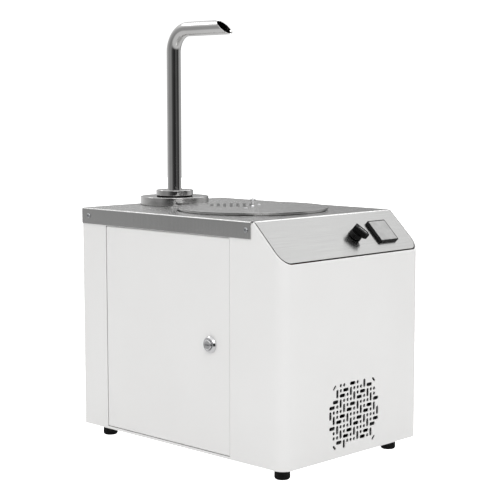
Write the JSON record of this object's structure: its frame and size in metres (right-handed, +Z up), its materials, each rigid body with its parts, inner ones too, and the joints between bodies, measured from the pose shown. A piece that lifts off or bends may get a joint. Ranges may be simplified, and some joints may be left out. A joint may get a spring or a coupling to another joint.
{
  "type": "sauce dispenser",
  "caption": "Countertop sauce tap machine: white sheet-metal cabinet with a steel top, round lift-off lid, curved swivel spout, sloped control panel, side door and front fan vent.",
  "frame": {"origin": "centre of the footprint, on the surface the four feet stand on", "axes": "+Z up; -Y is the front with the sloped control panel and the fan vent; -X is the side with the door"},
  "size_m": [0.257, 0.3564, 0.5357],
  "materials": {
    "white_powder_coat": "fine white powder coat",
    "brushed_steel": "brushed along the width",
    "polished_steel": "polished stainless steel",
    "chrome": "bright chrome",
    "zinc_steel": "zinc-plated steel",
    "black_rubber": "matte black rubber",
    "black_plastic": "satin black plastic",
    "light_plastic": "light grey plastic",
    "clear_silicone": "glossy clear cover over a light rocker",
    "red_silicone": "red silicone heating mat",
    "green_board": "green circuit board",
    "anodised_aluminium": "anodised aluminium"
  },
  "bodies": {
    "cabinet": {"body_shell": "white_powder_coat", "base_pan": "white_powder_coat", "rear_panel": "white_powder_coat", "top_cover": "brushed_steel", "cover_screw_fl": "zinc_steel", "cover_screw_rl": "zinc_steel", "cover_screw_fr": "zinc_steel", "cover_screw_rr": "zinc_steel", "foot_fl": "black_rubber", "foot_fr": "black_rubber", "foot_rl": "black_rubber", "foot_rr": "black_rubber", "hinge_bracket": "zinc_steel", "tank": "polished_steel", "tank_heater": "red_silicone", "tank_sensor": "zinc_steel", "spout_base": "polished_steel", "spout_seal": "black_rubber", "riser_tube": "polished_steel", "feed_pipe": "polished_steel", "bearing_housing": "anodised_aluminium", "shaft_seal": "black_rubber", "motor_bracket": "zinc_steel", "gearbox": "anodised_aluminium", "motor": "black_plastic", "fan_frame": "black_plastic", "speed_pot": "zinc_steel", "pot_nut": "zinc_steel", "switch_housing": "black_plastic", "switch_cover": "clear_silicone", "power_inlet": "black_plastic", "power_supply": "zinc_steel", "control_board": "green_board", "mains_lead": "black_plastic", "motor_lead": "black_plastic", "fan_lead": "black_plastic", "switch_lead": "black_plastic"},
    "door": {"side_door": "white_powder_coat", "door_pin_upper": "zinc_steel", "door_pin_lower": "zinc_steel", "lock_barrel": "chrome", "lock_nut": "zinc_steel"},
    "lock_plug": {"lock_core": "chrome", "lock_cam": "zinc_steel"},
    "lid": {"tank_lid": "brushed_steel", "lid_knob": "chrome", "lid_rivet_left": "chrome", "lid_rivet_right": "chrome"},
    "spout": {"spout_collar": "polished_steel", "spout_tube": "polished_steel"},
    "auger": {"auger": "polished_steel", "shaft_coupling": "anodised_aluminium", "gearbox_shaft": "zinc_steel"},
    "fan": {"fan_rotor": "black_plastic"},
    "knob": {"speed_knob": "black_plastic", "pot_shaft": "zinc_steel"},
    "rocker": {"switch_rocker": "light_plastic"}
  },
  "joints": [
    {"name": "door_hinge", "type": "hinge", "parent": "cabinet", "child": "door", "pos_m": [-0.1184, 0.11755, 0.1465], "axis": [0, 0, 1], "range_deg": [-100, 0]},
    {"name": "lock_turn", "type": "hinge", "parent": "door", "child": "lock_plug", "pos_m": [-0.1244, -0.05835, 0.1492], "axis": [1, 0, 0], "range_deg": [0, 90]},
    {"name": "lid_lift", "type": "slide", "parent": "cabinet", "child": "lid", "axis": [0, 0, 1], "range_m": [0, 0.12]},
    {"name": "spout_swivel", "type": "hinge", "parent": "cabinet", "child": "spout", "pos_m": [-0.004, 0.1333, 0.3185], "axis": [0, 0, 1], "range_deg": [-35, 35]},
    {"name": "auger_spin", "type": "hinge", "parent": "cabinet", "child": "auger", "pos_m": [-0.004, 0.1333, 0.1665], "axis": [0, 0, 1], "continuous": true},
    {"name": "fan_spin", "type": "hinge", "parent": "cabinet", "child": "fan", "pos_m": [-0.0016, -0.17675, 0.0655], "axis": [0, 1, 0], "continuous": true},
    {"name": "speed_knob_turn", "type": "hinge", "parent": "cabinet", "child": "knob", "pos_m": [0.0245, -0.15363, 0.27358], "axis": [0, -0.7019, 0.7122], "range_deg": [0, 270]},
    {"name": "rocker_tilt", "type": "hinge", "parent": "cabinet", "child": "rocker", "pos_m": [0.0758, -0.15011, 0.27172], "axis": [1, 0, 0], "range_deg": [0, 14]}
  ]
}
